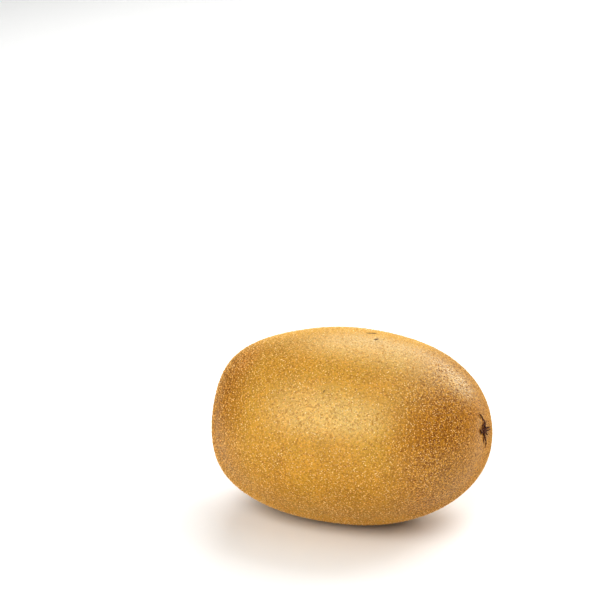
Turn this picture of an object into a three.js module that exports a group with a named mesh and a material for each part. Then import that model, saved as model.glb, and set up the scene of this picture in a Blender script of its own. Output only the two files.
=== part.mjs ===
// Golden kiwi fruit: one whole ripe fruit as picked, lying on its side.
//
// It is one natural piece. The skin carries two scars, both raised from the surface by a formula:
// the round corky scar where the stalk broke off, and the small dry star left by the flower.
//
// Frame: millimetres, +Z up, +X along the fruit towards its blossom end. The origin lies on the
// surface that the fruit rests on, under the middle of the fruit's box.

import * as THREE from 'three';

// Whole fruit. Lengths are in millimetres and angles in degrees, here and below
const LENGTH = 71.0; // from stem end to blossom end
const WIDTH = 51.9; // across, level
const HEIGHT = 49.8; // across, upright, before the resting spot is pressed in
const WAIST_POWER = 2.94; // power of the outline: 2 is an ellipse, more has blunter ends
const POWER_DROP = 0.5; // the stem end is blunter by this, the blossom end finer
const BLOSSOM_TAPER = 0.031; // share by which the section narrows towards the blossom end
const PITCH = 2.5; // the blossom end lies this much higher
const REST_DEPTH = 0.9; // how far the skin is pressed flat where the fruit lies
const REST_EDGE = 0.3; // height over which the flat spot rounds into the skin

// Long low undulations of the skin, drawn from a seed
const SKIN_SEED = 41;
const SKIN_WAVES = 9;
const SKIN_WAVE_LENGTH = 26;
const SKIN_WAVE_RISE = 0.12;

// Stem scar: a cork disc in a ring groove, with a socket at its middle
const STEM_BASIN_RADIUS = 10.5; // the skin dips softly towards the scar
const STEM_BASIN_DEPTH = 0.55;
const GROOVE_RADIUS = 6.2;
const GROOVE_HALF_WIDTH = 0.5;
const GROOVE_DEPTH = 0.5;
const RIM_RADIUS = 5.4; // the cork's raised rim, inside the groove
const RIM_HALF_WIDTH = 0.5;
const RIM_RISE = 0.3;
const CRESCENT_RADIUS = 4.1; // a torn ridge round part of the disc
const CRESCENT_HALF_WIDTH = 0.4;
const CRESCENT_RISE = 0.35;
const CRESCENT_MIDDLE = 50;
const SOCKET_RADIUS = 1.9; // ring where the stalk's bundle pulled out
const SOCKET_HALF_WIDTH = 0.45;
const SOCKET_DEPTH = 0.6;
const NUB_RADIUS = 1.2;
const NUB_RISE = 0.35;
const CORK_SEED = 7;
const CORK_WAVES = 14;
const CORK_WAVE_LENGTH = 1.9;
const CORK_WAVE_RISE = 0.13;

// Blossom scar: a star of dried flower remains in a dimple, a little off the fruit's axis
const STAR_Y = -2.8;
const STAR_Z = 3.3;
const DIMPLE_RADIUS = 3.6;
const DIMPLE_DEPTH = 0.35;
const BUTTON_RADIUS = 1.0;
const BUTTON_RISE = 0.5;
const STAR_ARMS = [
  { angle: 87, reach: 3.4 },
  { angle: 163, reach: 2.4 },
  { angle: 225, reach: 1.9 },
  { angle: 272, reach: 4.1 },
  { angle: 345, reach: 3.4 },
];
const ARM_HALF_WIDTH = 0.45;
const ARM_RISE = 0.35;

// Mesh: rings round the fruit, close together at both scars and wide apart at the waist
const SEGMENTS = 60;
const SCAR_STEP = 0.4;
const SCAR_REACH = 8.2; // rings stay close as far from the axis as this
const BODY_STEP = 2.8;
const STEP_GROWTH = 0.28; // how much wider a ring is set for each millimetre past the scar
const PROFILE_SAMPLES = 20000;

// Colour of the ripe skin from a step away
const SKIN_COLOUR = 0xca943e;
const SKIN_ROUGHNESS = 0.5;

const radians = THREE.MathUtils.degToRad;

// A bump that is 1 at the middle, fades smoothly and is 0 beyond the half width
function bump(distance, halfWidth) {
  const share = Math.min(Math.abs(distance) / halfWidth, 1);
  return (1 - share * share) ** 2;
}

// A seeded generator of draws between 0 and 1
function drawsFrom(seed) {
  let state = seed;
  return () => {
    state = (state * 1664525 + 1013904223) % 4294967296;
    return state / 4294967296;
  };
}

// Smooth irregular relief between about -1 and 1: waves in many directions, with seeded phases
function relief(seed, waves, waveLength) {
  const draw = drawsFrom(seed);
  const terms = Array.from({ length: waves }, () => {
    const direction = new THREE.Vector3(draw() - 0.5, draw() - 0.5, draw() - 0.5).normalize();
    const count = (2 * Math.PI / waveLength) * (0.7 + 0.6 * draw());
    return { direction: direction.multiplyScalar(count), phase: 2 * Math.PI * draw() };
  });
  const share = Math.sqrt(2 / waves);
  return (point) => share * terms.reduce(
    (sum, term) => sum + Math.sin(point.dot(term.direction) + term.phase), 0);
}

const skinRelief = relief(SKIN_SEED, SKIN_WAVES, SKIN_WAVE_LENGTH);
const corkRelief = relief(CORK_SEED, CORK_WAVES, CORK_WAVE_LENGTH);

// The outline's power, which falls evenly from the stem end, at -1, to the blossom end, at 1
function outlinePower(along) {
  return WAIST_POWER - POWER_DROP * along;
}

// The fruit's half outline for a unit fruit: x is the distance from the axis, y runs along it
function outlinePoint(angle) {
  const along = Math.sin(angle);
  return new THREE.Vector2(Math.cos(angle) ** (2 / outlinePower(along)), along);
}

// Rings are dropped along the outline whenever the wanted step has been walked
function ringOutline() {
  const ends = [new THREE.Vector2(0, -1), new THREE.Vector2(0, 1)];
  const rings = [ends[0]];
  for (let i = 1; i < PROFILE_SAMPLES; i += 1) {
    const point = outlinePoint(Math.PI * (i / PROFILE_SAMPLES - 0.5));
    const last = rings[rings.length - 1];
    const out = point.x * WIDTH / 2;
    const walked = Math.hypot(out - last.x * WIDTH / 2, (point.y - last.y) * LENGTH / 2);
    const pastScar = Math.max(out - SCAR_REACH, 0);
    if (walked >= Math.min(SCAR_STEP + STEP_GROWTH * pastScar, BODY_STEP)) rings.push(point);
  }
  const toPole = rings[rings.length - 1].x * WIDTH / 2;
  if (toPole < SCAR_STEP / 2) rings.pop();
  return [...rings, ends[1]];
}

// The plain body at one point of the unit fruit, before any relief
function bodyPoint(along, across, up) {
  const swell = 1 - BLOSSOM_TAPER * along;
  return new THREE.Vector3(along * LENGTH / 2, across * swell * WIDTH / 2, up * swell * HEIGHT / 2);
}

// The way out of the skin there
function bodyNormal(along, across, up) {
  const power = outlinePower(along);
  const side = power / 2 * Math.hypot(across, up) ** (power - 2);
  return new THREE.Vector3(along / LENGTH, side * across / WIDTH, side * up / HEIGHT).normalize();
}

// Height of the stem scar's relief over the body
function stemScar(point) {
  const out = Math.hypot(point.y, point.z);
  const turn = Math.atan2(point.z, point.y) - radians(CRESCENT_MIDDLE);
  const crescent = Math.max(Math.cos(turn), 0) * bump(out - CRESCENT_RADIUS, CRESCENT_HALF_WIDTH);
  return -STEM_BASIN_DEPTH * bump(out, STEM_BASIN_RADIUS)
    - GROOVE_DEPTH * bump(out - GROOVE_RADIUS, GROOVE_HALF_WIDTH)
    + RIM_RISE * bump(out - RIM_RADIUS, RIM_HALF_WIDTH)
    + CRESCENT_RISE * crescent
    - SOCKET_DEPTH * bump(out - SOCKET_RADIUS, SOCKET_HALF_WIDTH)
    + NUB_RISE * bump(out, NUB_RADIUS)
    + CORK_WAVE_RISE * corkRelief(point) * bump(out, GROOVE_RADIUS);
}

// Height of one dried arm of the star: a ridge that thins to its tip
function starArm(y, z, arm) {
  const turn = radians(arm.angle);
  const outward = y * Math.cos(turn) + z * Math.sin(turn);
  const aside = z * Math.cos(turn) - y * Math.sin(turn);
  if (outward <= 0 || outward >= arm.reach) return 0;
  const share = outward / arm.reach;
  return ARM_RISE * bump(aside, ARM_HALF_WIDTH) * (1 - share * share);
}

// Height of the blossom scar's relief over the body
function blossomScar(point) {
  const y = point.y - STAR_Y;
  const z = point.z - STAR_Z;
  const out = Math.hypot(y, z);
  const arms = STAR_ARMS.map((arm) => starArm(y, z, arm));
  const button = BUTTON_RISE * bump(out, BUTTON_RADIUS);
  return Math.max(button, ...arms) - DIMPLE_DEPTH * bump(out, DIMPLE_RADIUS);
}

// Skin point with its relief, in the fruit's own frame
function skinPoint(along, across, up) {
  const point = bodyPoint(along, across, up);
  const scar = along < 0 ? stemScar(point) : blossomScar(point);
  const height = scar + SKIN_WAVE_RISE * skinRelief(point);
  return point.addScaledVector(bodyNormal(along, across, up), height);
}

// Presses what is lower than the floor up to it, with a soft edge round the flat spot
function pressFlat(z, floor) {
  const clear = z - floor;
  if (clear >= REST_EDGE) return z;
  if (clear <= -REST_EDGE) return floor;
  return floor + (clear + REST_EDGE) ** 2 / (4 * REST_EDGE);
}

function kiwiFruit() {
  const geometry = new THREE.LatheGeometry(ringOutline(), SEGMENTS);
  const corners = geometry.attributes.position;
  for (let i = 0; i < corners.count; i += 1) {
    const point = skinPoint(corners.getY(i), corners.getZ(i), corners.getX(i));
    corners.setXYZ(i, point.x, point.y, point.z);
  }
  geometry.rotateY(-radians(PITCH));
  geometry.computeBoundingBox();
  const floor = geometry.boundingBox.min.z + REST_DEPTH;
  for (let i = 0; i < corners.count; i += 1) corners.setZ(i, pressFlat(corners.getZ(i), floor));
  geometry.computeBoundingBox();
  const middle = geometry.boundingBox.getCenter(new THREE.Vector3());
  geometry.translate(-middle.x, -middle.y, -floor);
  geometry.computeVertexNormals();

  const skin = new THREE.MeshStandardMaterial({
    color: SKIN_COLOUR, roughness: SKIN_ROUGHNESS, metalness: 0,
  });
  const fruit = new THREE.Mesh(geometry, skin);
  fruit.name = 'kiwi_fruit';
  return fruit;
}

const kiwi = new THREE.Group();
kiwi.add(kiwiFruit());

export default kiwi;
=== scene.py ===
import math

import bpy
import numpy as np
from mathutils import Matrix, Vector


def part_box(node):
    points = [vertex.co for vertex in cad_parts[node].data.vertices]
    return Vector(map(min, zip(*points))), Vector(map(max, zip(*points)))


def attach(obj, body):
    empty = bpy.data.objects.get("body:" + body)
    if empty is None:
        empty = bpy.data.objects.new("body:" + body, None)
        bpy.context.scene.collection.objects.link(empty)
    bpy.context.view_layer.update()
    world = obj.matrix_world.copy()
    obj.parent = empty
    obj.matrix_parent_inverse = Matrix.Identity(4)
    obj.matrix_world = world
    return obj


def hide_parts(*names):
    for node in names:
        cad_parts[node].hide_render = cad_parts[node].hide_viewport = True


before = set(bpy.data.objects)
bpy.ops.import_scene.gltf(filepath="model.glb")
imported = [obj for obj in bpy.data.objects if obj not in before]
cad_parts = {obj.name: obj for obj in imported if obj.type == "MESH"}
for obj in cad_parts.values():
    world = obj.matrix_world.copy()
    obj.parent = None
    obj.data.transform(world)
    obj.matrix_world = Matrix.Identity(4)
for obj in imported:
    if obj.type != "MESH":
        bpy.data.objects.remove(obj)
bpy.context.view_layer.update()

# Skin. The whole outside of a ripe golden kiwi fruit: one thin, tough, golden-brown skin that grew
# closed round the flesh. It sinks softly towards the stalk's scar, has a dimple at the blossom end,
# and is pressed flat where the fruit lies. Lengths are in metres, and +X points to the blossom end.
LENGTH = 0.0710
WIDTH = 0.0519
HEIGHT = 0.0498
WAIST_POWER = 2.94  # power of the outline: 2 is an ellipse, more has blunter ends
POWER_DROP = 0.5  # the stem end is blunter by this, the blossom end finer
BLOSSOM_TAPER = 0.031
PITCH = math.radians(2.5)
REST_DEPTH = 0.0009
REST_EDGE = 0.0003
SKIN_SEED = 41
SKIN_WAVES = 9
SKIN_WAVE_LENGTH = 0.026
SKIN_WAVE_RISE = 0.00012
STEM_BASIN_RADIUS = 0.0105
STEM_BASIN_DEPTH = 0.00055
GROOVE_RADIUS = 0.0062
GROOVE_HALF_WIDTH = 0.0005
GROOVE_DEPTH = 0.0005
CORK_SEAT_DEPTH = 0.0009  # the skin inside the groove sinks under the cork
STAR_Y = -0.0028
STAR_Z = 0.0033
DIMPLE_RADIUS = 0.0036
DIMPLE_DEPTH = 0.00035
SKIN_CUTS = 126
PORE_SIZE = 0.0011
PORE_RISE = 0.00004


def bump(distance, half_width):
    """1 at the middle, fading smoothly to 0 at the half width."""
    share = np.minimum(np.abs(distance) / half_width, 1)
    return (1 - share**2) ** 2


def outline_power(along):
    return WAIST_POWER - POWER_DROP * along


def draws_from(seed):
    """Seeded draws between 0 and 1."""
    state = seed
    while True:
        state = (state * 1664525 + 1013904223) % 4294967296
        yield state / 4294967296


def long_waves(points):
    """Low irregular swelling of the skin, between about -1 and 1."""
    draw = draws_from(SKIN_SEED)
    total = np.zeros(len(points))
    for _ in range(SKIN_WAVES):
        way = Vector((next(draw) - 0.5, next(draw) - 0.5, next(draw) - 0.5)).normalized()
        count = 2 * math.pi / SKIN_WAVE_LENGTH * (0.7 + 0.6 * next(draw))
        total += np.sin(points @ np.array(way * count) + 2 * math.pi * next(draw))
    return total * math.sqrt(2 / SKIN_WAVES)


def even_outline(steps=4000):
    """The share of the outline walked from the stem end, and how far along the fruit that is."""
    angle = np.linspace(-math.pi / 2, math.pi / 2, steps)
    along = np.sin(angle)
    out = np.abs(np.cos(angle)) ** (2 / outline_power(along))
    stride = np.hypot(np.diff(along) * LENGTH / 2, np.diff(out) * WIDTH / 2)
    walked = np.concatenate([[0], np.cumsum(stride)])
    return walked / walked[-1], along


WALKED, ALONG = even_outline()


def unit_fruit(walked, turn):
    """Along, across and up on the fruit of size 1, from the share walked and the turn round the axis."""
    along = np.interp(walked, WALKED, ALONG)
    out = np.maximum(1 - along**2, 0) ** (1 / outline_power(along))
    return along, out * np.cos(turn), out * np.sin(turn)


def body_points(along, across, up):
    swell = 1 - BLOSSOM_TAPER * along
    sides = (along * LENGTH / 2, across * swell * WIDTH / 2, up * swell * HEIGHT / 2)
    return np.stack(sides, axis=-1)


def body_normals(along, across, up):
    power = outline_power(along)
    side = power / 2 * np.hypot(across, up) ** (power - 2)
    normals = np.stack([along / LENGTH, side * across / WIDTH, side * up / HEIGHT], axis=-1)
    return normals / np.linalg.norm(normals, axis=-1, keepdims=True)


def skin_height(points):
    """Height of the skin over the plain body: long waves, stem basin, groove, and blossom dimple."""
    height = SKIN_WAVE_RISE * long_waves(points)
    stem = np.hypot(points[:, 1], points[:, 2])
    at_stem = -STEM_BASIN_DEPTH * bump(stem, STEM_BASIN_RADIUS)
    at_stem -= GROOVE_DEPTH * bump(stem - GROOVE_RADIUS, GROOVE_HALF_WIDTH)
    at_stem -= CORK_SEAT_DEPTH * bump(stem, GROOVE_RADIUS)
    star = np.hypot(points[:, 1] - STAR_Y, points[:, 2] - STAR_Z)
    at_star = -DIMPLE_DEPTH * bump(star, DIMPLE_RADIUS)
    return height + np.where(points[:, 0] < 0, at_stem, at_star)


def turn_up(points):
    """Lifts the blossom end by the fruit's pitch."""
    tilt = np.array(Matrix.Rotation(-PITCH, 3, "Y"))
    return points @ tilt.T


def press_flat(points, floor):
    """Presses what is lower than the floor up to it, with a soft edge round the flat spot."""
    clear = points[:, 2] - floor
    soft = (clear + REST_EDGE) ** 2 / (4 * REST_EDGE)
    pressed = np.where(clear >= REST_EDGE, clear, np.where(clear <= -REST_EDGE, 0, soft))
    return np.column_stack([points[:, 0], points[:, 1], floor + pressed])


def raised(walked, turn, height=0.0):
    """Points a height above the skin, in the fruit's own frame."""
    unit = unit_fruit(walked, turn)
    points = body_points(*unit)
    rise = skin_height(points) + height
    return points + body_normals(*unit) * rise[:, None]


def only(piece):
    """Deselects all, then selects one piece and makes it active."""
    bpy.ops.object.select_all(action="DESELECT")
    piece.select_set(True)
    bpy.context.view_layer.objects.active = piece


def named(name):
    """Names the active object and its mesh."""
    piece = bpy.context.object
    piece.name = name
    piece.data.name = name
    return piece


def get_points(piece):
    flat = np.empty(len(piece.data.vertices) * 3)
    piece.data.vertices.foreach_get("co", flat)
    return flat.reshape(-1, 3)


def set_points(piece, points):
    piece.data.vertices.foreach_set("co", points.ravel())
    piece.data.update()


def fruit_skin():
    """A cube cut fine and rounded to a ball, whose corners then go to their places on the fruit."""
    bpy.ops.object.select_all(action="DESELECT")
    bpy.ops.mesh.primitive_cube_add(size=2)
    bpy.ops.object.mode_set(mode="EDIT")
    bpy.ops.mesh.select_all(action="SELECT")
    bpy.ops.mesh.subdivide(number_cuts=SKIN_CUTS)
    bpy.ops.transform.tosphere(value=1)
    bpy.ops.object.mode_set(mode="OBJECT")
    skin = named("skin")
    ball = get_points(skin)
    ball /= np.linalg.norm(ball, axis=1, keepdims=True)
    walked = 0.5 + np.arcsin(ball[:, 0].clip(-1, 1)) / math.pi
    set_points(skin, turn_up(raised(walked, np.arctan2(ball[:, 2], ball[:, 1]))))
    return skin


skin = fruit_skin()
unplaced = get_points(skin)
FLOOR = unplaced[:, 2].min() + REST_DEPTH
cad_low, cad_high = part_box("kiwi_fruit")
box_middle = (unplaced.min(0) + unplaced.max(0)) / 2
MOVE = np.array([
    (cad_low.x + cad_high.x) / 2 - box_middle[0],
    (cad_low.y + cad_high.y) / 2 - box_middle[1],
    cad_low.z - FLOOR,
])


def placed(points):
    """From the fruit's own frame to where it lies."""
    return press_flat(turn_up(points), FLOOR) + MOVE


set_points(skin, press_flat(unplaced, FLOOR) + MOVE)


def skin_spot(along, turn):
    """The point of the skin at a distance along the fruit from its waist and a turn round its axis."""
    walked = np.interp([along / (LENGTH / 2)], ALONG, WALKED)
    return Vector(placed(raised(walked, np.array([math.radians(turn)])))[0])


def roughen(piece, name, size, rise):
    """Displaces a piece's surface by a fine procedural texture and applies it."""
    grain = bpy.data.textures.new(name, "CLOUDS")
    grain.noise_scale = size
    push = piece.modifiers.new(name, "DISPLACE")
    push.texture = grain
    push.texture_coords = "LOCAL"
    push.strength = rise
    push.mid_level = 0.5
    only(piece)
    bpy.ops.object.modifier_apply(modifier=push.name)


def rest_on_floor(piece):
    """Lifts to the floor whatever the fine relief pushed under it."""
    points = get_points(piece)
    points[:, 2] = np.maximum(points[:, 2], cad_low.z)
    set_points(piece, points)


roughen(skin, "skin_pores", PORE_SIZE, PORE_RISE)
rest_on_floor(skin)
only(skin)
bpy.ops.object.shade_smooth()


def linear(red, green, blue):
    """A colour given from 0 to 255, as the shader's linear colour."""
    eye = np.array([red, green, blue]) / 255
    value = np.where(eye <= 0.04045, eye / 12.92, ((eye + 0.055) / 1.055) ** 2.4)
    return (*value, 1.0)


class Nodes:
    """A node tree with short ways to add its nodes."""

    def __init__(self, tree, place):
        self.tree = tree
        self.place = place

    def link(self, value, socket):
        """Links a node's output to a socket, or sets a plain value on it."""
        if isinstance(value, bpy.types.NodeSocket):
            self.tree.links.new(value, socket)
        else:
            socket.default_value = value

    def noise(self, scale, detail=2.0, roughness=0.5):
        node = self.tree.nodes.new("ShaderNodeTexNoise")
        self.link(self.place, node.inputs["Vector"])
        self.link(scale, node.inputs["Scale"])
        self.link(detail, node.inputs["Detail"])
        self.link(roughness, node.inputs["Roughness"])
        return node.outputs["Fac"]

    def warped(self, scale, reach):
        """The shaded point, pushed about by a noise."""
        node = self.tree.nodes.new("ShaderNodeTexNoise")
        self.link(self.place, node.inputs["Vector"])
        node.inputs["Scale"].default_value = scale
        push = self.vector("SUBTRACT", node.outputs["Color"], (0.5, 0.5, 0.5))
        return self.vector("ADD", self.place, self.vector("SCALE", push, reach))

    def cells(self, scale, place, feature="F1"):
        """Distance from a place to the middle of the cell that it lies in, or to the cell's edge."""
        node = self.tree.nodes.new("ShaderNodeTexVoronoi")
        node.feature = feature
        self.link(place, node.inputs["Vector"])
        node.inputs["Scale"].default_value = scale
        return node.outputs["Distance"]

    def fade(self, value, start, end, low=0.0, high=1.0):
        """Maps start to end smoothly onto low to high."""
        node = self.tree.nodes.new("ShaderNodeMapRange")
        node.interpolation_type = "SMOOTHSTEP"
        self.link(value, node.inputs["Value"])
        self.link(start, node.inputs["From Min"])
        self.link(end, node.inputs["From Max"])
        self.link(low, node.inputs["To Min"])
        self.link(high, node.inputs["To Max"])
        return node.outputs["Result"]

    def between(self, value, start, full, fading, end):
        """1 where the value lies from full to fading, and 0 outside start and end."""
        rising = self.fade(value, start, full)
        falling = self.fade(value, fading, end, 1.0, 0.0)
        return self.math("MULTIPLY", rising, falling)

    def math(self, operation, first, second):
        node = self.tree.nodes.new("ShaderNodeMath")
        node.operation = operation
        self.link(first, node.inputs[0])
        self.link(second, node.inputs[1])
        return node.outputs[0]

    def vector(self, operation, first, second, output="Vector"):
        node = self.tree.nodes.new("ShaderNodeVectorMath")
        node.operation = operation
        self.link(first, node.inputs[0])
        self.link(second, node.inputs["Scale" if operation == "SCALE" else 1])
        return node.outputs[output]

    def blend(self, share, first, second):
        """Colour first where the share is 0, second where it is 1."""
        node = self.tree.nodes.new("ShaderNodeMix")
        node.data_type = "RGBA"
        self.link(share, node.inputs["Factor"])
        self.link(first, node.inputs[6])
        self.link(second, node.inputs[7])
        return node.outputs[2]

    def attribute(self, name):
        node = self.tree.nodes.new("ShaderNodeAttribute")
        node.attribute_name = name
        return node.outputs["Fac"]

    def distance(self, point):
        """Distance from the shaded point to a point of the fruit."""
        return self.vector("DISTANCE", self.place, tuple(point), "Value")

    def line_distance(self, start, end):
        """Distance from the shaded point to a straight line between two points."""
        along = end - start
        offset = self.vector("SUBTRACT", self.place, tuple(start))
        share = self.vector("DOT_PRODUCT", offset, tuple(along / along.length_squared), "Value")
        share = self.math("MINIMUM", self.math("MAXIMUM", share, 0.0), 1.0)
        nearest = self.vector("SCALE", tuple(along), share)
        return self.vector("DISTANCE", offset, nearest, "Value")

    def relief(self, height, strength, distance):
        node = self.tree.nodes.new("ShaderNodeBump")
        node.inputs["Strength"].default_value = strength
        node.inputs["Distance"].default_value = distance
        self.link(height, node.inputs["Height"])
        return node.outputs["Normal"]


class Shader(Nodes):
    """A material's nodes, with its Principled surface."""

    def __init__(self, name):
        self.material = bpy.data.materials.new(name)
        self.material.use_nodes = True
        tree = self.material.node_tree
        self.surface = tree.nodes["Principled BSDF"]
        super().__init__(tree, tree.nodes.new("ShaderNodeTexCoord").outputs["Object"])

    def effect(self, group, **values):
        """Places a node group with its values and returns its outputs."""
        node = self.tree.nodes.new("ShaderNodeGroup")
        node.node_tree = group
        self.link(self.place, node.inputs["Place"])
        for name, value in values.items():
            self.link(value, node.inputs[name.replace("_", " ")])
        return node.outputs

    def finish(self, colour, roughness, normal=None, **values):
        """Links the surface up and sets its other values, then returns the material."""
        self.link(colour, self.surface.inputs["Base Color"])
        self.link(roughness, self.surface.inputs["Roughness"])
        if normal is not None:
            self.link(normal, self.surface.inputs["Normal"])
        for name, value in values.items():
            self.surface.inputs[name.replace("_", " ")].default_value = value
        return self.material


def effect_group(name, numbers, colours, outputs):
    """A shader node group with named inputs and outputs, then its nodes and its inputs' sockets."""
    group = bpy.data.node_groups.new(name, "ShaderNodeTree")
    group.interface.new_socket("Place", in_out="INPUT", socket_type="NodeSocketVector")
    for title, usual in numbers.items():
        socket = group.interface.new_socket(title, in_out="INPUT", socket_type="NodeSocketFloat")
        socket.default_value = usual
    for title in colours:
        group.interface.new_socket(title, in_out="INPUT", socket_type="NodeSocketColor")
    for title, kind in outputs.items():
        group.interface.new_socket(title, in_out="OUTPUT", socket_type=kind)
    inputs = group.nodes.new("NodeGroupInput").outputs
    return group, Nodes(group, inputs["Place"]), inputs


def mottle_group():
    """Two tones that run softly into each other, as they do on skin, on cork and on dried threads."""
    group, nodes, inputs = effect_group(
        "mottle",
        {"Scale": 400.0, "Detail": 3.0, "Roughness": 0.5},
        ("First Tone", "Second Tone"),
        {"Colour": "NodeSocketColor"},
    )
    spots = nodes.noise(inputs["Scale"], inputs["Detail"], inputs["Roughness"])
    colour = nodes.blend(nodes.fade(spots, 0.35, 0.65), inputs["First Tone"], inputs["Second Tone"])
    nodes.link(colour, group.nodes.new("NodeGroupOutput").inputs["Colour"])
    return group


def grain_group():
    """Fine grain over a colour: one tint where the grain is low, another where it is high."""
    group, nodes, inputs = effect_group(
        "grain",
        {
            "Scale": 2000.0, "Detail": 3.0, "Roughness": 0.5,
            "Low Full": 0.35, "Low End": 0.50, "Low Share": 0.0,
            "High Start": 0.50, "High Full": 0.65, "High Share": 0.0,
        },
        ("Colour", "Low Tint", "High Tint"),
        {"Colour": "NodeSocketColor", "Grain": "NodeSocketFloat"},
    )
    grain = nodes.noise(inputs["Scale"], inputs["Detail"], inputs["Roughness"])
    low = nodes.fade(grain, inputs["Low Full"], inputs["Low End"], inputs["Low Share"], 0.0)
    colour = nodes.blend(low, inputs["Colour"], inputs["Low Tint"])
    high = nodes.fade(grain, inputs["High Start"], inputs["High Full"], 0.0, inputs["High Share"])
    colour = nodes.blend(high, colour, inputs["High Tint"])
    result = group.nodes.new("NodeGroupOutput").inputs
    nodes.link(colour, result["Colour"])
    nodes.link(grain, result["Grain"])
    return group


MOTTLE = mottle_group()
GRAIN = grain_group()
SKIN_GOLD = linear(177, 131, 20)
SKIN_OCHRE = linear(169, 121, 14)
# painted light: a paler tone for the upper side of the skin
SKIN_PAINTED_TOP_LIGHT = linear(208, 184, 122)
SKIN_PATCH = linear(204, 146, 48)
# the ends' browner skin, with painted shade mixed into both tones
SKIN_BLOSSOM_BROWN_AND_SHADE = linear(123, 63, 3)
SKIN_STEM_BROWN_AND_SHADE = linear(108, 49, 3)
SKIN_TIP_ORANGE = linear(206, 132, 24)
SKIN_BLUSH = linear(214, 138, 84)
# the grain's darker tone, partly painted shade in the relief's hollows
SKIN_HOLLOW_AND_SHADE = linear(138, 84, 8)
SKIN_CREST = linear(218, 160, 66)
SKIN_NET = linear(216, 160, 50)
# painted sheen: the lighter tan of the skin seen edge-on
SKIN_PAINTED_SHEEN = linear(234, 180, 82)
# the dark pits: partly the skin's dark pores, partly painted shade in the pits
SKIN_PIT_AND_SHADE = linear(110, 50, 3)
SKIN_MARK = linear(60, 30, 12)
BLOSSOM_END = (0.013, 0.027)  # along the fruit, where the end's browner skin and painted shade start and are full
STEM_END = (-0.036, -0.018)  # along the fruit, where the end's browner skin and painted shade are full and stop
BLOSSOM_TIP = (0.029, 0.035)
PAINTED_LIGHT_HEIGHTS = (-0.004, 0.013)  # heights over the axis between which painted light makes the upper side paler
GRAIN_SCALE = 1900
BEND_SCALE = 1500
BEND_REACH = 0.0011
NET_SCALE = 1250
PIT_SCALE = 1050
SKIN_RELIEF = 0.00014
SCRATCH_HALF_WIDTH = (0.00020, 0.00040)  # fully dark within the first, gone beyond the second
SCRATCH_START = skin_spot(0.0038, 84.5)
SCRATCH_END = skin_spot(0.0056, 82.4)
SPECKS = (
    # two ends and half width of the short dark specks, then how dark they are
    (skin_spot(0.0070, 93), skin_spot(0.0075, 91), 0.00036, 1.0),
    (skin_spot(-0.0006, 139), skin_spot(-0.0004, 138), 0.00026, 0.6),
)
BLUSHES = (
    # along and turn of the pinkish patches, then how far each spreads
    (skin_spot(0.0336, 96), 0.0022),
    (skin_spot(0.0349, 238), 0.0026),
    (skin_spot(-0.0250, 112), 0.0070),
)


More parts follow.
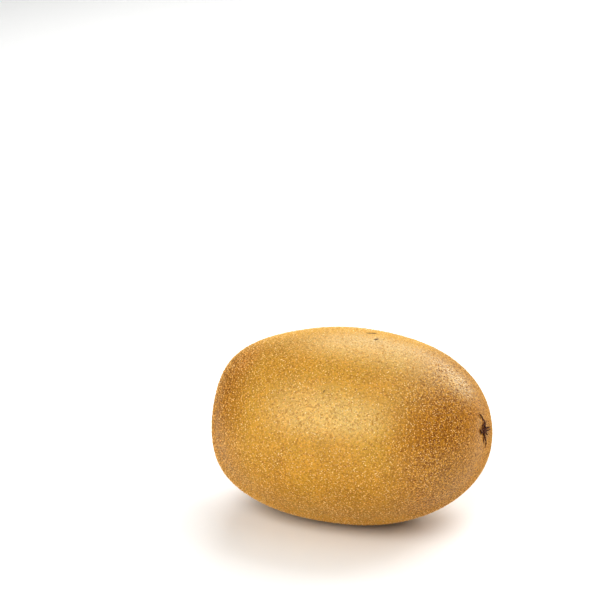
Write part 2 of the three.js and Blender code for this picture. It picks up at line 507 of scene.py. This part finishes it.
def skin_material():
    shader = Shader("kiwi_skin")
    place = shader.vector("ADD", shader.place, tuple(-Vector(MOVE)))
    along = shader.vector("DOT_PRODUCT", place, (1.0, 0.0, 0.0), "Value")
    height = shader.vector("DOT_PRODUCT", place, (0.0, 0.0, 1.0), "Value")
    to_blossom = shader.fade(along, *BLOSSOM_END)
    to_stem = shader.fade(along, *STEM_END, 1.0, 0.0)
    to_end = shader.math("MAXIMUM", to_blossom, to_stem)
    ground = shader.effect(MOTTLE, Scale=55, Detail=2, First_Tone=SKIN_GOLD, Second_Tone=SKIN_OCHRE)
    colour = ground["Colour"]
    for share, tint in (
        # painted light: the upper side is made paler, standing in for the front light's highlight band
        (shader.fade(height, *PAINTED_LIGHT_HEIGHTS, 0.0, 0.21), SKIN_PAINTED_TOP_LIGHT),
        (shader.math("MULTIPLY", shader.fade(shader.noise(160, 3), 0.35, 0.7), 0.3), SKIN_PATCH),
        # the ends' browner skin, darkened further by painted shade at both ends
        (shader.math("MULTIPLY", to_blossom, 0.85), SKIN_BLOSSOM_BROWN_AND_SHADE),
        (shader.math("MULTIPLY", to_stem, 0.95), SKIN_STEM_BROWN_AND_SHADE),
        (shader.fade(along, *BLOSSOM_TIP, 0.0, 0.4), SKIN_TIP_ORANGE),
    ):
        colour = shader.blend(share, colour, tint)
    mottle = shader.noise(420, 3, 0.6)
    for spot, spread in BLUSHES:
        near = shader.fade(shader.distance(spot), 0.0, spread, 1.0, 0.0)
        blush = shader.math("MULTIPLY", near, shader.fade(mottle, 0.42, 0.62, 0.05, 0.4))
        colour = shader.blend(blush, colour, SKIN_BLUSH)
    # darker where the grain is low, partly painted shade in the relief's hollows; paler where it is high
    grained = shader.effect(
        GRAIN, Scale=GRAIN_SCALE, Roughness=0.6, Colour=colour,
        Low_Full=0.36, Low_End=0.50, Low_Share=0.62, Low_Tint=SKIN_HOLLOW_AND_SHADE,
        High_Start=0.53, High_Full=0.64, High_Share=0.55, High_Tint=SKIN_CREST,
    )
    grain = grained["Grain"]
    bent = shader.warped(BEND_SCALE, BEND_REACH)
    net = shader.fade(shader.cells(NET_SCALE, bent, "DISTANCE_TO_EDGE"), 0.04, 0.20, 1.0, 0.0)
    net = shader.math("MULTIPLY", net, shader.fade(grain, 0.35, 0.6, 0.15, 0.65))
    net = shader.math("MULTIPLY", net, to_end)
    colour = shader.blend(net, grained["Colour"], SKIN_NET)
    # painted sheen: a lighter tan where the skin is seen edge-on, for the down's sheen at the limb
    facing = shader.tree.nodes.new("ShaderNodeLayerWeight")
    facing.inputs["Blend"].default_value = 0.5
    painted_sheen = shader.fade(facing.outputs["Facing"], 0.55, 0.95, 0.0, 0.75)
    painted_sheen = shader.math("MULTIPLY", painted_sheen, shader.fade(grain, 0.40, 0.58, 0.3, 1.0))
    painted_sheen = shader.math("MULTIPLY", painted_sheen, shader.fade(to_end, 0.0, 1.0, 1.0, 0.3))
    colour = shader.blend(painted_sheen, colour, SKIN_PAINTED_SHEEN)
    wider = shader.fade(to_end, 0.0, 1.0, 1.0, 0.82)
    # dark pits: partly the skin's dark pores, partly painted shade in the pits
    pit = shader.math("MULTIPLY", shader.cells(PIT_SCALE, bent), wider)
    pit = shader.fade(pit, 0.10, 0.30, 1.0, 0.0)
    pit_dark_and_shade = shader.math("MULTIPLY", pit, shader.fade(to_end, 0.0, 1.0, 0.22, 0.75))
    colour = shader.blend(pit_dark_and_shade, colour, SKIN_PIT_AND_SHADE)
    mark = shader.line_distance(SCRATCH_START, SCRATCH_END)
    mark = shader.fade(mark, *SCRATCH_HALF_WIDTH, 1.0, 0.0)
    for start, end, spread, dark in SPECKS:
        speck = shader.fade(shader.line_distance(start, end), spread * 0.6, spread, dark, 0.0)
        mark = shader.math("MAXIMUM", mark, speck)
    mark = shader.math("MULTIPLY", mark, 0.95)
    colour = shader.blend(mark, colour, SKIN_MARK)
    roughness = shader.fade(grain, 0.36, 0.52, 0.5, 0.28)
    roughness = shader.math("ADD", roughness, shader.math("MULTIPLY", pit, 0.4))
    roughness = shader.math("MAXIMUM", roughness, mark)
    edge = shader.fade(facing.outputs["Facing"], 0.5, 0.85, 0.3, 0.85)
    roughness = shader.math("MAXIMUM", roughness, edge)
    relief = shader.math("SUBTRACT", grain, shader.math("MULTIPLY", pit_dark_and_shade, 1.2))
    normal = shader.relief(relief, 0.6, SKIN_RELIEF)
    return shader.finish(colour, roughness, normal, IOR=1.72, Specular_Tint=(0.93, 1.0, 0.70, 1.0))


skin.data.materials.append(skin_material())
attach(skin, "root")
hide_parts("kiwi_fruit")

# Skin hairs. A golden kiwi sheds its down and keeps thousands of tiny dry tan stubs, which lie along
# the fruit. They are made of dead matted hair, matte where the skin shines, and grow from the skin.
HAIR_SEED = 5
HAIR_COUNT = 32800
HAIR_LENGTH = 0.00053
HAIR_WIDTH = 0.00032
HAIR_RISE = 0.00013
HAIR_ROOT = 0.00004
HAIR_LEAN = 0.3  # the tip lies this share of the length toward the blossom end
HAIR_CROWDING = (0.2, 1.2)  # how much denser the stubs stand at the stem end and at the blossom end
HAIR_FINENESS = (-0.1, 0.3)  # how much smaller they are at the stem end and at the blossom end
HAIR_END_POWER = 3  # how late the crowding, size and colour change on the way to the ends
HAIR_STEP_SCATTER = 0.35
HAIR_ALONG_SCATTER = 0.25
HAIR_TURN_SCATTER = 0.3
HAIR_SWING = 0.9  # spread of the stubs' directions about the length of the fruit, in radians
HAIR_SWING_LOSS = 0.6  # share of that spread which is gone at the ends
HAIR_SMALLEST = 0.5
HAIR_SIZE_RANGE = 0.7
HAIR_END_STRETCH = 0.3
HAIR_TIP_GAP = 0.0001
HAIR_SCAR_GAP = 0.0004
HAIR_FLOOR_GAP = 0.0006
HAIR_MARK_GAP = 0.0005
HAIR_TAN = linear(228, 178, 112)
HAIR_PALE = linear(255, 235, 188)
HAIR_END_TAN = linear(250, 184, 84)
HAIR_SPECKLE = linear(176, 120, 58)
GOLDEN_TURN = math.pi * (3 - math.sqrt(5))


def hair_stub():
    """One stub: a low four-sided cone, longer than wide, whose base sinks into the skin."""
    bpy.ops.object.select_all(action="DESELECT")
    bpy.ops.mesh.primitive_cone_add(vertices=4, radius1=0.5, radius2=0, depth=1, location=(0, 0, 0.5))
    bpy.ops.object.transform_apply(location=True)
    stub = named("hair_stub")
    corners = get_points(stub)
    faces = [tuple(face.vertices) for face in stub.data.polygons]
    bpy.data.objects.remove(stub)
    corners[corners[:, 2] > 0.5, 0] += HAIR_LEAN
    return corners, faces


def even_area(steps=4000):
    """The share of the stubs passed from the stem end, for each share of the outline walked."""
    walked = np.linspace(0, 1, steps)
    along, across, up = unit_fruit(walked, np.zeros(steps))
    crowd = across * (1 + np.where(along < 0, *HAIR_CROWDING) * np.abs(along) ** HAIR_END_POWER)
    area = np.concatenate([[0], np.cumsum((crowd[1:] + crowd[:-1]) / 2)])
    return area / area[-1], walked


def smooth_outward(piece):
    """Turns a piece's faces outward and shades it smooth."""
    only(piece)
    bpy.ops.object.mode_set(mode="EDIT")
    bpy.ops.mesh.select_all(action="SELECT")
    bpy.ops.mesh.normals_make_consistent(inside=False)
    bpy.ops.object.mode_set(mode="OBJECT")
    bpy.ops.object.shade_smooth()


def skin_hairs():
    """The stubs in one mesh: spread evenly round the fruit in a spiral, then scattered a little."""
    rng = np.random.default_rng(HAIR_SEED)
    area, walked_at = even_area()
    order = np.arange(HAIR_COUNT)
    share = (order + 0.5 + rng.normal(0, HAIR_STEP_SCATTER, HAIR_COUNT)) / HAIR_COUNT
    spread = math.sqrt(4 * math.pi / HAIR_COUNT)
    share = (share + rng.normal(0, HAIR_ALONG_SCATTER * spread, HAIR_COUNT) / 2).clip(0, 1)
    walked = np.interp(share, area, walked_at)
    turn = order * GOLDEN_TURN + rng.normal(0, HAIR_TURN_SCATTER * spread, HAIR_COUNT)
    base = raised(walked, turn)
    ahead = raised(np.minimum(walked + 1e-4, 1), turn)
    aside = raised(walked, turn + 1e-4)
    from_axis = np.hypot(base[:, 1], base[:, 2])
    keep = (from_axis > HAIR_TIP_GAP) & (walked < 0.9995)
    keep &= ~((base[:, 0] < 0) & (from_axis < GROOVE_RADIUS + HAIR_SCAR_GAP))
    base, ahead, aside = base[keep], ahead[keep], aside[keep]
    lies = placed(base)
    clear = lies[:, 2] > HAIR_FLOOR_GAP
    for start, end, *_ in ((SCRATCH_START, SCRATCH_END), *SPECKS):
        middle = (start + end) / 2
        reach = (end - start).length / 2 + HAIR_MARK_GAP
        clear &= np.linalg.norm(lies - np.array(middle), axis=1) > reach
    base, ahead, aside = placed(base[clear]), placed(ahead[clear]), placed(aside[clear])
    count = len(base)
    lengthwise = ahead - base
    lengthwise /= np.linalg.norm(lengthwise, axis=1, keepdims=True)
    outward = np.cross(lengthwise, aside - base)
    outward /= np.linalg.norm(outward, axis=1, keepdims=True)
    outward *= np.sign(np.sum(outward * (base - base.mean(0)), axis=1, keepdims=True))
    crosswise = np.cross(outward, lengthwise)
    at_end = np.minimum(np.abs(base[:, 0] - MOVE[0]) / (LENGTH / 2), 1) ** HAIR_END_POWER
    swing = (rng.normal(0, HAIR_SWING, count) * (1 - HAIR_SWING_LOSS * at_end))[:, None]
    first = lengthwise * np.cos(swing) + crosswise * np.sin(swing)
    second = np.cross(outward, first)
    size = HAIR_SMALLEST + HAIR_SIZE_RANGE * rng.uniform(0, 1, count)
    size *= 1 - at_end * np.where(base[:, 0] < MOVE[0], *HAIR_FINENESS)
    length = HAIR_LENGTH * size * (1 + HAIR_END_STRETCH * at_end) * rng.uniform(0.8, 1.3, count)
    corners, faces = hair_stub()
    long = corners[:, 0][None, :] * length[:, None]
    wide = corners[:, 1][None, :] * (HAIR_WIDTH * size)[:, None]
    tall = corners[:, 2][None, :] * ((HAIR_RISE + HAIR_ROOT) * size)[:, None] - HAIR_ROOT
    jitter = rng.uniform(0.75, 1.3, long.shape)
    long, wide = long * jitter, wide * jitter
    points = (
        base[:, None, :]
        + long[..., None] * first[:, None, :]
        + wide[..., None] * second[:, None, :]
        + tall[..., None] * outward[:, None, :]
    )
    mesh = bpy.data.meshes.new("skin_hairs")
    each = len(corners)
    every = [tuple(v + each * i for v in face) for i in range(count) for face in faces]
    mesh.from_pydata(points.reshape(-1, 3).tolist(), [], every)
    for name, values in (("hair_shade", rng.uniform(0, 1, count)), ("hair_end", at_end)):
        mesh.attributes.new(name, "FLOAT", "POINT").data.foreach_set("value", np.repeat(values, each))
    hairs = bpy.data.objects.new("skin_hairs", mesh)
    bpy.context.scene.collection.objects.link(hairs)
    smooth_outward(hairs)
    return hairs


def hair_material():
    shader = Shader("skin_hairs")
    colour = shader.blend(shader.attribute("hair_shade"), HAIR_TAN, HAIR_PALE)
    end = shader.math("MULTIPLY", shader.attribute("hair_end"), 0.5)
    colour = shader.blend(end, colour, HAIR_END_TAN)
    speckled = shader.effect(
        GRAIN, Scale=4000, Detail=2, Colour=colour,
        High_Start=0.35, High_Full=0.65, High_Share=0.35, High_Tint=HAIR_SPECKLE,
    )
    colour = speckled["Colour"]
    return shader.finish(colour, 0.7, Specular_IOR_Level=0.5, Specular_Tint=(1.0, 0.95, 0.7, 1.0))


hairs = skin_hairs()
hairs.data.materials.append(hair_material())
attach(hairs, "root")

# Stem scar. Where the fruit was picked from its stalk: a round, dry, corky plate of torn wood fibres
# in the groove of the skin, with a pale torn crescent, a dark ring, and the broken stalk's socket.
SCAR_RADIUS = 0.0057
SCAR_SINK = 0.0005  # the plate's underside lies this deep under the skin
SCAR_PLATE_RISE = 0.00012
SCAR_RIM = 0.0052
SCAR_RIM_HALF_WIDTH = 0.0006
SCAR_RIM_RISE = 0.0003
SCAR_CRESCENT = 0.0041
SCAR_CRESCENT_HALF_WIDTH = 0.00055
SCAR_CRESCENT_RISE = 0.00045
SCAR_CRESCENT_MIDDLE = math.radians(50)
SCAR_CRESCENT_REACH = 1.35  # half its length round the scar, in radians
SCAR_SOCKET = 0.0019
SCAR_SOCKET_HALF_WIDTH = 0.00055
SCAR_SOCKET_DEPTH = 0.0006
SCAR_NUB = 0.0012
SCAR_NUB_RISE = 0.00045
SCAR_PITS = ((0.0005, 70), (0.0006, 200), (0.0005, 320))  # distance from the middle, and turn
SCAR_PIT_RADIUS = 0.0004
SCAR_PIT_DEPTH = 0.0004
SCAR_FIBRE_RISE = 0.00007
SCAR_TORN_RISE = 0.00009
SCAR_GRAIN_SIZE = 0.00045
SCAR_GRAIN_RISE = 0.00022
SCAR_TORN_PLACE = (0.0026, 0.0031)  # across and up from the axis, where the crescent is palest
SCAR_TORN_SPREAD = (0.0008, 0.0030)
CORK_WANDER = 0.0018
CORK_RELIEF = 0.0003
CORK_TAN = linear(180, 132, 74)
CORK_BROWN = linear(146, 98, 50)
CORK_RING = linear(88, 54, 28)
CORK_RIM = linear(198, 156, 98)
# the socket's dark brown, deepened by painted shade in its trench
CORK_SOCKET_AND_SHADE = linear(52, 30, 16)
CORK_NUB = linear(186, 146, 92)
CORK_TORN = linear(214, 180, 124)
CORK_FIBRE_DARK = linear(78, 46, 22)
CORK_FIBRE_PALE = linear(214, 176, 118)
STEM_TIP = Vector(placed(raised(np.array([0.0]), np.array([0.0]), CORK_SEAT_DEPTH))[0])


def end_raised(across, up, height, blossom):
    """Points above the skin at one end, from how far across and up from its axis they are."""
    swell = 1 - BLOSSOM_TAPER * ALONG
    half = slice(len(ALONG) // 2, None) if blossom else slice(0, len(ALONG) // 2)
    out = (np.maximum(1 - ALONG**2, 0) ** (1 / outline_power(ALONG)) * swell)[half]
    walked = WALKED[half]
    if blossom:
        out, walked = out[::-1], walked[::-1]
    side, rise = across / (WIDTH / 2), up / (HEIGHT / 2)
    return raised(np.interp(np.hypot(side, rise), out, walked), np.arctan2(rise, side), height)


def scar_height(radius, angle):
    """Height of the cork over the skin under it."""
    height = CORK_SEAT_DEPTH * bump(radius, GROOVE_RADIUS)
    height += SCAR_PLATE_RISE * (1 - np.clip(radius / SCAR_RADIUS, 0, 1) ** 12)
    rim = bump(radius - SCAR_RIM, SCAR_RIM_HALF_WIDTH) * (0.8 + 0.2 * np.sin(7 * angle + 1))
    height += SCAR_RIM_RISE * rim
    away = np.abs((angle - SCAR_CRESCENT_MIDDLE + math.pi) % (2 * math.pi) - math.pi)
    reach = bump(away, SCAR_CRESCENT_REACH) * (0.8 + 0.2 * np.sin(17 * angle))
    reach *= 0.85 + 0.15 * np.sin(41 * angle + 2)
    wander = 0.0002 * np.sin(5 * angle)
    reach *= bump(radius - SCAR_CRESCENT + wander, SCAR_CRESCENT_HALF_WIDTH)
    height += SCAR_CRESCENT_RISE * reach
    height -= SCAR_SOCKET_DEPTH * bump(radius - SCAR_SOCKET, SCAR_SOCKET_HALF_WIDTH)
    height += SCAR_NUB_RISE * (1 - np.clip(radius / SCAR_NUB, 0, 1) ** 4)
    for out, turn in SCAR_PITS:
        turn = math.radians(turn)
        across = radius * np.cos(angle) - out * math.cos(turn)
        up = radius * np.sin(angle) - out * math.sin(turn)
        height -= SCAR_PIT_DEPTH * bump(np.hypot(across, up), SCAR_PIT_RADIUS)
    fibres = np.sin(angle * 31 + 2.2 * np.sin(radius * 3100))
    fibres *= np.sin(radius * 5200 + 3 * np.sin(angle * 9))
    torn = np.sin(radius * 4100 + 2.5 * np.sin(angle * 3 + 1) + 1.2 * np.sin(angle * 11))
    rough = SCAR_FIBRE_RISE * fibres + SCAR_TORN_RISE * torn * (0.6 + 0.4 * np.sin(angle * 5 + 2))
    inside = np.clip(radius / SCAR_NUB, 0, 1) * (1 - np.clip(radius / SCAR_RADIUS, 0, 1) ** 8)
    return height + rough * inside


def stem_scar():
    """A ball flattened to a plate: its upper half is the torn face, its lower half lies in the skin."""
    bpy.ops.object.select_all(action="DESELECT")
    bpy.ops.mesh.primitive_uv_sphere_add(segments=144, ring_count=140, radius=1)
    scar = named("stem_scar")
    ball = get_points(scar)
    angle = np.arctan2(ball[:, 1], ball[:, 0])
    share = np.arccos(np.clip(np.abs(ball[:, 2]), 0, 1)) / (math.pi / 2)
    edge = 1 + 0.012 * np.sin(5 * angle) + 0.008 * np.sin(13 * angle + 1)
    radius = SCAR_RADIUS * share * edge
    face = scar_height(radius, angle)
    under = -SCAR_SINK * (1 - share**8)
    height = np.where(ball[:, 2] > 1e-6, face, np.where(ball[:, 2] < -1e-6, under, 0))
    across, up = radius * np.cos(angle), radius * np.sin(angle)
    set_points(scar, placed(end_raised(across, up, height, False)))
    roughen(scar, "scar_fibres", SCAR_GRAIN_SIZE, SCAR_GRAIN_RISE)
    smooth_outward(scar)
    return scar


def cork_material():
    shader = Shader("stem_cork")
    wander = shader.math("SUBTRACT", shader.noise(620, 3), 0.5)
    wander = shader.math("MULTIPLY", wander, CORK_WANDER)
    ring = shader.math("ADD", shader.distance(STEM_TIP), wander)
    across, up = np.array([SCAR_TORN_PLACE]).T
    palest = Vector(placed(end_raised(across, up, np.zeros(1), False))[0])
    torn = shader.fade(shader.distance(palest), *SCAR_TORN_SPREAD, 1.0, 0.0)
    ground = shader.effect(
        MOTTLE, Scale=420, Roughness=0.6, First_Tone=CORK_TAN, Second_Tone=CORK_BROWN
    )
    colour = ground["Colour"]
    for share, strength, tint in (
        (shader.between(ring, 0.0040, 0.0046, 0.0050, 0.0054), 0.7, CORK_RING),
        (shader.fade(ring, 0.0051, 0.0055), 0.8, CORK_RIM),
        # the socket's dark brown, deepened by painted shade in its trench
        (shader.between(ring, 0.0012, 0.0017, 0.0020, 0.0024), 0.85, CORK_SOCKET_AND_SHADE),
        (shader.fade(ring, 0.0008, 0.0013, 1.0, 0.0), 0.6, CORK_NUB),
        (shader.between(ring, 0.0035, 0.0039, 0.0042, 0.0046), torn, CORK_TORN),
    ):
        colour = shader.blend(shader.math("MULTIPLY", share, strength), colour, tint)
    fibrous = shader.effect(
        GRAIN, Scale=2600, Detail=4, Roughness=0.7, Colour=colour,
        Low_Full=0.36, Low_End=0.50, Low_Share=0.7, Low_Tint=CORK_FIBRE_DARK,
        High_Start=0.54, High_Full=0.68, High_Share=0.5, High_Tint=CORK_FIBRE_PALE,
    )
    normal = shader.relief(fibrous["Grain"], 1.0, CORK_RELIEF)
    return shader.finish(fibrous["Colour"], 0.85, normal, Specular_IOR_Level=0.25)


scar = stem_scar()
scar.data.materials.append(cork_material())
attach(scar, "root")

# Flower remains. At the blossom end the dried parts of the flower still cling: a dark shrivelled knot
# and a few brittle, twisted threads that lie on the skin, brown to nearly black.
FLOWER_SEED = 23
THREADS = (
    # across and up from the fruit's axis, in millimetres, then the thickness at the thickest place
    (((-2.6, 7.2), (-2.1, 6.4), (-1.6, 5.5), (-1.0, 4.6)), 0.34),
    (((-1.0, 4.7), (-1.7, 4.3), (-2.5, 3.9), (-2.2, 3.1)), 0.36),
    (((-1.0, 3.6), (-1.2, 3.1), (-1.7, 2.6)), 0.50),
    (((-1.6, 2.9), (-0.7, 2.8), (0.5, 2.7), (2.2, 2.1)), 0.28),
    (((-1.6, 2.4), (-0.6, 2.3), (0.7, 1.9), (2.7, 1.4)), 0.30),
    (((-4.2, 4.1), (-4.1, 3.4), (-3.8, 2.8), (-2.9, 2.7)), 0.44),
    (((-2.3, 2.6), (-2.6, 2.2), (-2.3, 1.5), (-2.1, 0.8)), 0.40),
    (((-2.2, 1.2), (-2.1, 0.4), (-2.1, -0.4), (-2.3, -1.7)), 0.28),
    (((-2.4, 1.5), (-2.9, 1.0), (-3.5, 0.5), (-3.7, 0.0)), 0.26),
    (((-1.9, 3.0), (-2.9, 3.3), (-3.3, 3.9)), 0.24),
    (((-1.4, 2.2), (-1.0, 1.4), (-0.2, 1.0)), 0.22),
    (((-1.5, 3.1), (-0.9, 4.0), (0.3, 4.6)), 0.20),
)
THREAD_STEPS = 22
THREAD_SIDES = 8
THREAD_ENDS = 0.30  # share of the thickness that is left at a thread's ends
THREAD_FLATNESS = 0.75
THREAD_LIFT = 0.00008
THREAD_LIFT_CHANGE = 0.00014
THREAD_WAVES = (0.00007, 0.00004)
WISP_COUNT = 11
KNOT_PLACE = (-0.0018, 0.0027)
KNOT_SIZE = (0.00052, 0.00058, 0.00030)
KNOT_LIFT = 0.00008
SHRIVEL_SIZE = 0.0003
SHRIVEL_RISE = 0.00012
DRIED_DARK = linear(66, 36, 27)
DRIED_BROWN = linear(106, 63, 42)
DRIED_FIBRE = linear(140, 92, 58)
DRIED_RELIEF = 0.0001


def smooth_path(corners, steps):
    """An even run of points through the corners, rounded at each."""
    corners = np.array(corners, float)
    padded = np.vstack([2 * corners[0] - corners[1], corners, 2 * corners[-1] - corners[-2]])
    spans = len(corners) - 1
    points = []
    for place in np.linspace(0, spans, steps):
        span = min(int(place), spans - 1)
        share = place - span
        before, start, end, after = padded[span:span + 4]
        points.append(0.5 * (
            2 * start + (end - before) * share
            + (2 * before - 5 * start + 4 * end - after) * share**2
            + (3 * start - before - 3 * end + after) * share**3
        ))
    return np.array(points)


def thread(corners, thickness, draw):
    """A twisted closed strand along the skin, thin at both ends, as corners and faces."""
    path = smooth_path(corners, THREAD_STEPS) / 1000
    share = np.linspace(0, 1, THREAD_STEPS)
    wave = THREAD_WAVES[0] * np.sin(share * 11 + 6 * next(draw))
    wave += THREAD_WAVES[1] * np.sin(share * 23 + 6 * next(draw))
    heading = np.gradient(path, axis=0)
    heading /= np.linalg.norm(heading, axis=1, keepdims=True)
    aside = np.column_stack([-heading[:, 1], heading[:, 0]])
    path = path + aside * wave[:, None]
    width = thickness / 2000 * (THREAD_ENDS + (1 - THREAD_ENDS) * bump(share - 0.4, 0.75))
    width = width * (1 + 0.22 * np.sin(share * 17 + 6 * next(draw)))
    lift = THREAD_LIFT + THREAD_LIFT_CHANGE * np.abs(np.sin(share * 5 + 6 * next(draw)))
    twist = share * 4 + 6 * next(draw)
    rings = []
    for side in range(THREAD_SIDES):
        turn = 2 * math.pi * side / THREAD_SIDES
        out = width * np.cos(turn) * (1 + 0.25 * np.cos(2 * (turn - twist)))
        rise = width * THREAD_FLATNESS * np.sin(turn) * (1 + 0.25 * np.cos(2 * (turn - twist)))
        place = path + aside * out[:, None]
        rings.append(end_raised(place[:, 0], place[:, 1], lift + rise, True))
    points = placed(np.stack(rings, axis=1).reshape(-1, 3))
    faces = []
    last = (THREAD_STEPS - 1) * THREAD_SIDES
    for first in range(0, last, THREAD_SIDES):
        for side in range(THREAD_SIDES):
            here, beside = first + side, first + (side + 1) % THREAD_SIDES
            faces.append((here, beside, beside + THREAD_SIDES, here + THREAD_SIDES))
    faces.append(tuple(range(THREAD_SIDES)))
    faces.append(tuple(reversed(range(last, last + THREAD_SIDES))))
    return points, faces


def wisps(draw):
    """Thin curled threads round the knot."""
    curls = []
    for count in range(WISP_COUNT):
        heading = 2 * math.pi * (count + next(draw)) / WISP_COUNT
        reach = 1.0 + 1.1 * next(draw)
        curl = 1.6 * (next(draw) - 0.5)
        corners = []
        for share in (0.2, 0.5, 0.75, 1.0):
            turn = heading + curl * share
            corners.append((
                KNOT_PLACE[0] * 1000 + reach * share * math.cos(turn),
                KNOT_PLACE[1] * 1000 + reach * share * math.sin(turn) * 1.2,
            ))
        curls.append((tuple(corners), 0.09 + 0.06 * next(draw)))
    return tuple(curls)


def knot():
    """The shrivelled knot in the middle, from a ball."""
    bpy.ops.object.select_all(action="DESELECT")
    bpy.ops.mesh.primitive_ico_sphere_add(subdivisions=4, radius=1)
    ball = get_points(named("flower_remains"))
    lumps = 1 + 0.22 * np.sin(5 * ball[:, 0] + 3 * ball[:, 2]) * np.sin(6 * ball[:, 1] + 1)
    ball = ball * lumps[:, None]
    across = KNOT_PLACE[0] + KNOT_SIZE[0] * ball[:, 0]
    up = KNOT_PLACE[1] + KNOT_SIZE[1] * ball[:, 1]
    return placed(end_raised(across, up, KNOT_SIZE[2] * ball[:, 2] + KNOT_LIFT, True))


def flower_remains():
    draw = draws_from(FLOWER_SEED)
    middle = knot()
    core = bpy.context.object
    set_points(core, middle)
    points, faces = [], []
    for corners, thickness in THREADS + wisps(draw):
        strand, strand_faces = thread(corners, thickness, draw)
        faces += [tuple(corner + len(points) for corner in face) for face in strand_faces]
        points += strand.tolist()
    mesh = bpy.data.meshes.new("threads")
    mesh.from_pydata(points, [], faces)
    threads = bpy.data.objects.new("threads", mesh)
    bpy.context.scene.collection.objects.link(threads)
    only(core)
    threads.select_set(True)
    bpy.ops.object.join()
    remains = named("flower_remains")
    roughen(remains, "shrivelled", SHRIVEL_SIZE, SHRIVEL_RISE)
    smooth_outward(remains)
    return remains


def dried_material():
    shader = Shader("flower_remains")
    ground = shader.effect(MOTTLE, Scale=900, First_Tone=DRIED_DARK, Second_Tone=DRIED_BROWN)
    fibrous = shader.effect(
        GRAIN, Scale=4200, Roughness=0.6, Colour=ground["Colour"],
        High_Start=0.5, High_Full=0.75, High_Share=0.5, High_Tint=DRIED_FIBRE,
    )
    normal = shader.relief(shader.noise(5200, 3), 0.7, DRIED_RELIEF)
    return shader.finish(fibrous["Colour"], 0.7, normal, Specular_IOR_Level=0.35)


remains = flower_remains()
remains.data.materials.append(dried_material())
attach(remains, "root")

# Studio. A plain pale floor, a large soft light at the front left and another behind, two small ones
# behind and above for the sheen at the blossom end, and even white surroundings.
FLOOR_SIZE = 6.0
FLOOR_TONES = (linear(243, 243, 242), linear(247, 247, 246))
CAMERA_TURN = math.radians(20)
CAMERA_TILT = math.radians(19)
CAMERA_DISTANCE = 0.640
CAMERA_LENS = 150
FRUIT_RIGHT = 0.0137  # the fruit's middle lies this far right of the middle of the view
FRUIT_BELOW = 0.0322
LIGHT_DISTANCE = 0.60
LIGHTS = (
    # degrees round from the front and up, width and height, and power
    ("front_softbox", (-14, 34), (0.62, 0.50), 2.8),
    ("back_softbox", (170, 45), (0.80, 0.66), 3.25),
    ("side_softbox", (148, 24), (0.26, 0.26), 0.6),
    ("top_softbox", (75, 65), (0.40, 0.40), 0.4),
)
SURROUNDINGS_STRENGTH = 0.16

fruit_middle = Vector(turn_up(np.zeros((1, 3)))[0] + MOVE)


def way_to(turn, height):
    """The direction to a place seen from the fruit: turned from the front, and degrees up."""
    turn, height = math.radians(turn), math.radians(height)
    level = math.cos(height)
    return Vector((math.sin(turn) * level, -math.cos(turn) * level, math.sin(height)))


def studio_floor():
    bpy.ops.object.select_all(action="DESELECT")
    bpy.ops.mesh.primitive_plane_add(size=FLOOR_SIZE)
    floor = named("floor")
    shader = Shader("floor")
    colour = shader.blend(shader.noise(3, 2), *FLOOR_TONES)
    floor.data.materials.append(shader.finish(colour, 0.6, Specular_IOR_Level=0.2))


def soft_light(name, place, size, power):
    """A rectangular soft light aimed at the fruit."""
    light = bpy.data.lights.new(name, "AREA")
    light.shape = "RECTANGLE"
    light.size, light.size_y = size
    light.energy = power
    lamp = bpy.data.objects.new(name, light)
    bpy.context.scene.collection.objects.link(lamp)
    way = way_to(*place)
    lamp.location = fruit_middle + way * LIGHT_DISTANCE
    lamp.rotation_euler = way.to_track_quat("Z", "Y").to_euler()


def camera():
    turn, tilt = CAMERA_TURN, CAMERA_TILT
    right = Vector((math.cos(turn), math.sin(turn), 0))
    back = Vector((math.sin(turn) * math.cos(tilt), -math.cos(turn) * math.cos(tilt), math.sin(tilt)))
    up = back.cross(right)
    view = bpy.data.cameras.new("camera")
    view.lens = CAMERA_LENS
    view.clip_start = 0.01
    view.clip_end = 20
    holder = bpy.data.objects.new("camera", view)
    bpy.context.scene.collection.objects.link(holder)
    holder.location = fruit_middle - FRUIT_RIGHT * right + FRUIT_BELOW * up + CAMERA_DISTANCE * back
    holder.rotation_euler = Matrix((right, up, back)).transposed().to_euler()
    bpy.context.scene.camera = holder


studio_floor()
camera()
for light in LIGHTS:
    soft_light(*light)
surroundings = bpy.data.worlds.new("surroundings")
surroundings.use_nodes = True
background = surroundings.node_tree.nodes["Background"].inputs
background["Color"].default_value = (1, 1, 1, 1)
background["Strength"].default_value = SURROUNDINGS_STRENGTH
bpy.context.scene.world = surroundings
bpy.context.scene.view_settings.view_transform = "Standard"
bpy.context.scene.view_settings.look = "High Contrast"
